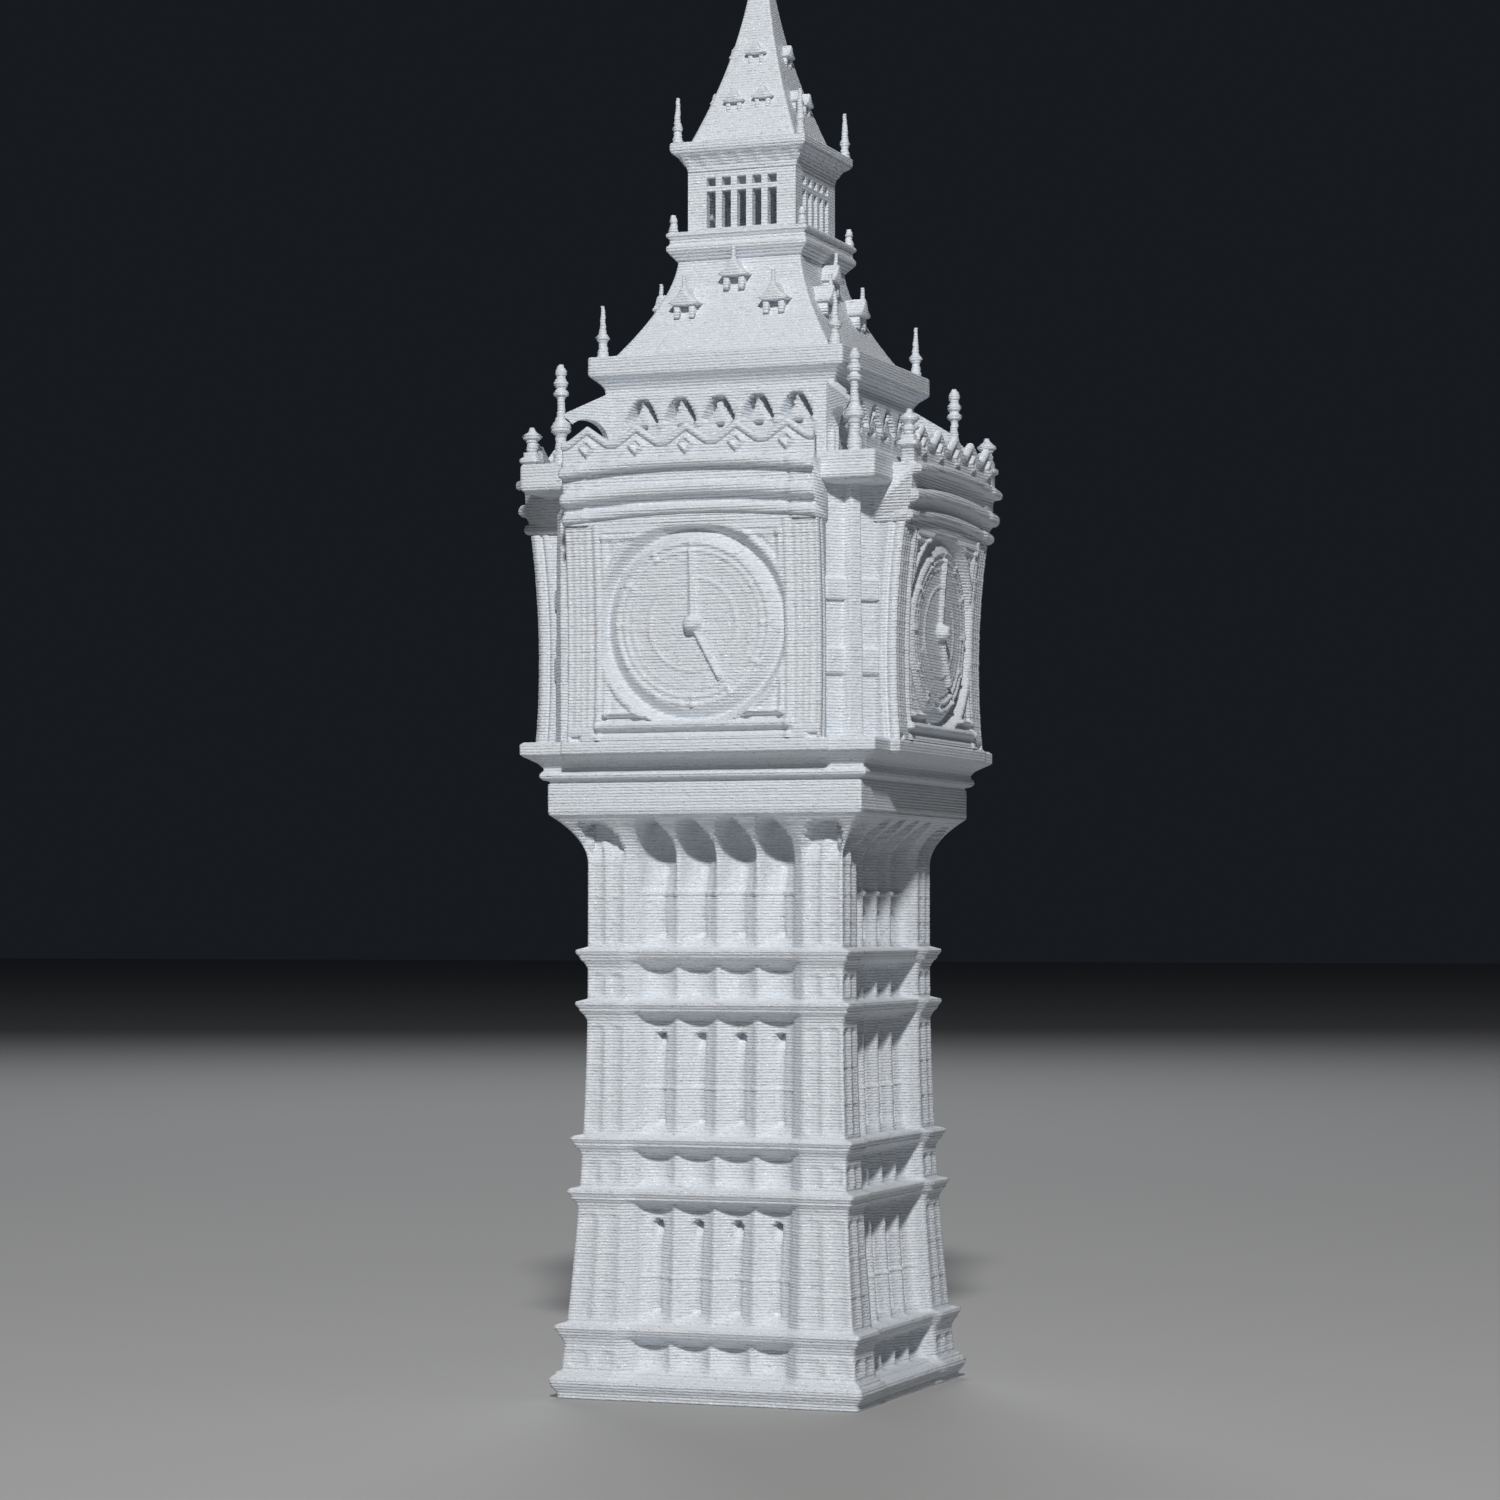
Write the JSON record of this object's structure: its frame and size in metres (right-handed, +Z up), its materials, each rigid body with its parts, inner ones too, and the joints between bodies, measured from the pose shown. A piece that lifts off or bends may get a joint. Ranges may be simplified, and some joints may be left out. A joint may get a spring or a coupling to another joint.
{
  "type": "miniature clock tower",
  "caption": "3D-printed miniature clock tower in pale plastic, with a panelled shaft, dials on all sides, an arcaded belfry, an open lantern and a spire.",
  "frame": {"origin": "on the ground, under the middle of the shaft", "axes": "+Z up the tower, -Y out of the front dial, +X out of the right-hand dial"},
  "size_m": [0.0294, 0.0294, 0.1049],
  "materials": {
    "printed_plastic": "satin, with fine layer lines and dark flecks"
  },
  "bodies": {
    "root": {"foot_moulding": "printed_plastic", "plinth_stage": "printed_plastic", "string_course_1": "printed_plastic", "lower_stage": "printed_plastic", "string_course_2": "printed_plastic", "lower_band": "printed_plastic", "string_course_3": "printed_plastic", "middle_stage": "printed_plastic", "string_course_4": "printed_plastic", "upper_band": "printed_plastic", "string_course_5": "printed_plastic", "upper_stage": "printed_plastic", "corbel_table": "printed_plastic", "frieze": "printed_plastic", "ledge_moulding": "printed_plastic", "clock_core": "printed_plastic", "corner_ribs": "printed_plastic", "clock_front": "printed_plastic", "clock_right": "printed_plastic", "clock_back": "printed_plastic", "clock_left": "printed_plastic", "dials": "printed_plastic", "spandrels": "printed_plastic", "clock_hands": "printed_plastic", "upper_cornice": "printed_plastic", "parapets": "printed_plastic", "corner_pinnacles": "printed_plastic", "bud_finials": "printed_plastic", "belfry": "printed_plastic", "flying_buttresses": "printed_plastic", "lower_eave": "printed_plastic", "eave_spikes": "printed_plastic", "lower_roof": "printed_plastic", "dormers": "printed_plastic", "gallery": "printed_plastic", "gallery_posts": "printed_plastic", "lantern": "printed_plastic", "upper_eave": "printed_plastic", "upper_spikes": "printed_plastic", "spire": "printed_plastic", "lucarnes": "printed_plastic", "spire_finial": "printed_plastic"}
  },
  "joints": []
}
